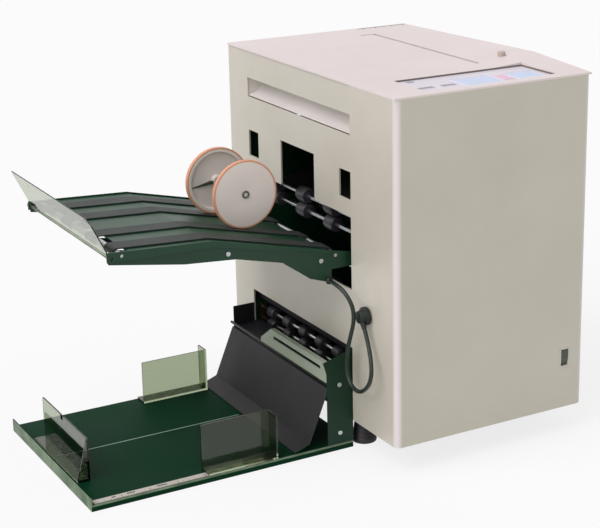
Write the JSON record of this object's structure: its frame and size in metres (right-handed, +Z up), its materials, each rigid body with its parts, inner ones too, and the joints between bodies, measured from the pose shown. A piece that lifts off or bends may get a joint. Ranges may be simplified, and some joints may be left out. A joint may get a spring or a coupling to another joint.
{
  "type": "paper folding machine",
  "caption": "Tall cabinet that folds sheets fed through a top slot and delivers booklets to a belt tray and flat sheets to a low tray.",
  "frame": {"origin": "middle of the bounding box in plan, on the table plane under the feet", "axes": "+X from the trays towards the plain side of the cabinet, +Y from the operator's side to the rear, +Z up"},
  "size_m": [0.88, 0.6026, 0.663],
  "materials": {
    "cover_paint": "satin, fine texture",
    "top_paint": "satin, fine texture",
    "tray_paint": "satin",
    "frame_paint": "satin",
    "guide_paint": "matt",
    "bar_paint": "satin",
    "steel": "ground",
    "aluminium": "satin",
    "bush_metal": "satin",
    "roller_rubber": "matt",
    "foot_rubber": "matt",
    "belt_rubber": "matt",
    "tyre_rubber": "matt",
    "disc_plastic": "moulded",
    "gear_plastic": "moulded",
    "clear_acrylic": "clear, polished edges",
    "tinted_acrylic": "tinted",
    "panel_plastic": "fine texture",
    "window_plastic": "gloss",
    "key_plastic": "fine texture",
    "start_key_plastic": "fine texture",
    "switch_plastic": "gloss",
    "cable_rubber": "satin",
    "plug_plastic": "satin",
    "board_green": "satin"
  },
  "bodies": {
    "machine": {"base_pan": "frame_paint", "feet": "foot_rubber", "front_cover": "cover_paint", "delivery_panel": "cover_paint", "grip_pan": "guide_paint", "rear_cover": "cover_paint", "side_cover": "cover_paint", "top_cover": "top_paint", "lid_hinge_brackets": "steel", "control_panel": "panel_plastic", "display_windows": "window_plastic", "switch_frame": "switch_plastic", "frame_plates": "frame_paint", "bearing_bushes": "bush_metal", "tie_bars": "steel", "paper_guides": "guide_paint", "knife_rails": "steel", "gear_motors": "steel", "drive_belt": "belt_rubber", "drive_motor": "aluminium", "chute": "guide_paint", "crossbar": "bar_paint", "low_tray": "tray_paint", "belt_tray": "frame_paint", "tray_belts": "belt_rubber", "cable": "cable_rubber", "cable_gland": "plug_plastic", "cable_plug": "plug_plastic", "mains_inlet": "switch_plastic", "electrics": "board_green", "cover_screws": "steel"},
    "lid": {"top_lid": "top_paint"},
    "latch": {"lid_latch": "panel_plastic"},
    "key_one": {"key_1": "key_plastic"},
    "key_two": {"key_2": "key_plastic"},
    "key_three": {"key_3": "key_plastic"},
    "key_four": {"key_4": "start_key_plastic"},
    "rocker": {"switch_rocker": "switch_plastic"},
    "lower_fold_roller": {"fold_roller_lower": "roller_rubber", "fold_gear_lower": "gear_plastic"},
    "upper_fold_roller": {"fold_roller_upper": "roller_rubber", "fold_gear_upper": "gear_plastic"},
    "rotor": {"motor_rotor": "steel"},
    "booklet_roller": {"booklet_exit_roller": "roller_rubber"},
    "booklet_idler": {"booklet_exit_idler": "roller_rubber"},
    "sheet_roller": {"sheet_exit_roller": "roller_rubber"},
    "sheet_idler": {"sheet_exit_idler": "roller_rubber"},
    "knife": {"knife_blade": "steel", "knife_carriage": "aluminium"},
    "pinion": {"knife_pinion": "gear_plastic"},
    "gate": {"sheet_gate": "aluminium"},
    "inner_belt_roller": {"belt_roller_inner": "steel"},
    "outer_belt_roller": {"belt_roller_outer": "steel"},
    "end_flap": {"end_plate": "tinted_acrylic"},
    "near_guide": {"near_side_guide": "clear_acrylic"},
    "far_guide": {"far_side_guide": "tinted_acrylic"},
    "stop": {"end_stop": "clear_acrylic"},
    "press_bar": {"press_axle": "steel"},
    "press_rollers": {"press_discs": "disc_plastic", "press_tyres": "tyre_rubber"}
  },
  "joints": [
    {"name": "lid_hinge", "type": "hinge", "parent": "machine", "child": "lid", "pos_m": [0.3303, 0.28475, 0.6438], "axis": [-1, 0, 0], "range_deg": [0, 80]},
    {"name": "latch_slide", "type": "slide", "parent": "lid", "child": "latch", "axis": [0, 0, -1], "range_m": [0, 0.0025], "stiffness_N_per_m": 600},
    {"name": "key_one_slide", "type": "slide", "parent": "machine", "child": "key_one", "axis": [0, 0, -1], "range_m": [0, 0.0007], "stiffness_N_per_m": 900},
    {"name": "key_two_slide", "type": "slide", "parent": "machine", "child": "key_two", "axis": [0, 0, -1], "range_m": [0, 0.0007], "stiffness_N_per_m": 900},
    {"name": "key_three_slide", "type": "slide", "parent": "machine", "child": "key_three", "axis": [0, 0, -1], "range_m": [0, 0.0007], "stiffness_N_per_m": 900},
    {"name": "key_four_slide", "type": "slide", "parent": "machine", "child": "key_four", "axis": [0, 0, -1], "range_m": [0, 0.0007], "stiffness_N_per_m": 900},
    {"name": "power_rocker", "type": "hinge", "parent": "machine", "child": "rocker", "pos_m": [0.3985, -0.29425, 0.144], "axis": [-1, 0, 0], "range_deg": [0, 15.71]},
    {"name": "lower_fold_spin", "type": "hinge", "parent": "machine", "child": "lower_fold_roller", "pos_m": [0.278, 0.03575, 0.3717], "axis": [0, -1, 0], "continuous": true},
    {"name": "upper_fold_spin", "type": "hinge", "parent": "machine", "child": "upper_fold_roller", "pos_m": [0.278, 0.03575, 0.4223], "axis": [0, 1, 0], "continuous": true},
    {"name": "motor_spin", "type": "hinge", "parent": "machine", "child": "rotor", "pos_m": [0.185, 0.03575, 0.17], "axis": [0, -1, 0], "continuous": true},
    {"name": "booklet_roller_spin", "type": "hinge", "parent": "machine", "child": "booklet_roller", "pos_m": [0.095, 0.03575, 0.3687], "axis": [0, -1, 0], "continuous": true},
    {"name": "booklet_idler_spin", "type": "hinge", "parent": "machine", "child": "booklet_idler", "pos_m": [0.095, 0.03575, 0.3973], "axis": [0, 1, 0], "continuous": true},
    {"name": "sheet_roller_spin", "type": "hinge", "parent": "machine", "child": "sheet_roller", "pos_m": [0.08, 0.03575, 0.1142], "axis": [0, -1, 0], "continuous": true},
    {"name": "sheet_idler_spin", "type": "hinge", "parent": "machine", "child": "sheet_idler", "pos_m": [0.08, 0.03575, 0.1388], "axis": [0, 1, 0], "continuous": true},
    {"name": "knife_slide", "type": "slide", "parent": "machine", "child": "knife", "axis": [-1, 0, 0], "range_m": [0, 0.042]},
    {"name": "pinion_spin", "type": "hinge", "parent": "machine", "child": "pinion", "pos_m": [0.385, -0.16825, 0.3702], "axis": [0, -1, 0], "range_deg": [0, 201.5]},
    {"name": "gate_slide", "type": "slide", "parent": "machine", "child": "gate", "axis": [1, 0, 0], "range_m": [0, 0.022]},
    {"name": "inner_belt_roller_spin", "type": "hinge", "parent": "machine", "child": "inner_belt_roller", "pos_m": [0.026, 0.02975, 0.35477], "axis": [0, -1, 0], "continuous": true},
    {"name": "outer_belt_roller_spin", "type": "hinge", "parent": "machine", "child": "outer_belt_roller", "pos_m": [-0.36, 0.02975, 0.41828], "axis": [0, -1, 0], "continuous": true},
    {"name": "end_flap_hinge", "type": "hinge", "parent": "machine", "child": "end_flap", "pos_m": [-0.379, 0.02975, 0.417], "axis": [0, 1, 0], "range_deg": [-40, 24]},
    {"name": "near_guide_slide", "type": "slide", "parent": "machine", "child": "near_guide", "axis": [0, 1, 0], "range_m": [-0.002, 0.1]},
    {"name": "far_guide_slide", "type": "slide", "parent": "machine", "child": "far_guide", "axis": [0, -1, 0], "range_m": [-0.002, 0.1]},
    {"name": "stop_slide", "type": "slide", "parent": "machine", "child": "stop", "axis": [1, 0, 0], "range_m": [-0.008, 0.15]},
    {"name": "press_slide", "type": "slide", "parent": "machine", "child": "press_bar", "axis": [-0.9724, 0, 0.2334], "range_m": [-0.055, 0.095]},
    {"name": "press_spin", "type": "hinge", "parent": "press_bar", "child": "press_rollers", "pos_m": [-0.083, 0.02975, 0.45045], "axis": [0, -1, 0], "range_deg": [-54, 92]}
  ],
  "couplings": [
    {"joint": "upper_fold_spin", "follows": "lower_fold_spin", "ratio": 1},
    {"joint": "motor_spin", "follows": "lower_fold_spin", "ratio": 2.2},
    {"joint": "booklet_roller_spin", "follows": "lower_fold_spin", "ratio": 1.7857},
    {"joint": "booklet_idler_spin", "follows": "lower_fold_spin", "ratio": 1.7857},
    {"joint": "sheet_roller_spin", "follows": "lower_fold_spin", "ratio": 2.0833},
    {"joint": "sheet_idler_spin", "follows": "lower_fold_spin", "ratio": 2.0833},
    {"joint": "pinion_spin", "follows": "knife_slide", "rad_per_m": 83.333},
    {"joint": "outer_belt_roller_spin", "follows": "inner_belt_roller_spin", "ratio": 1},
    {"joint": "press_spin", "follows": "press_slide", "rad_per_m": 16.584}
  ]
}
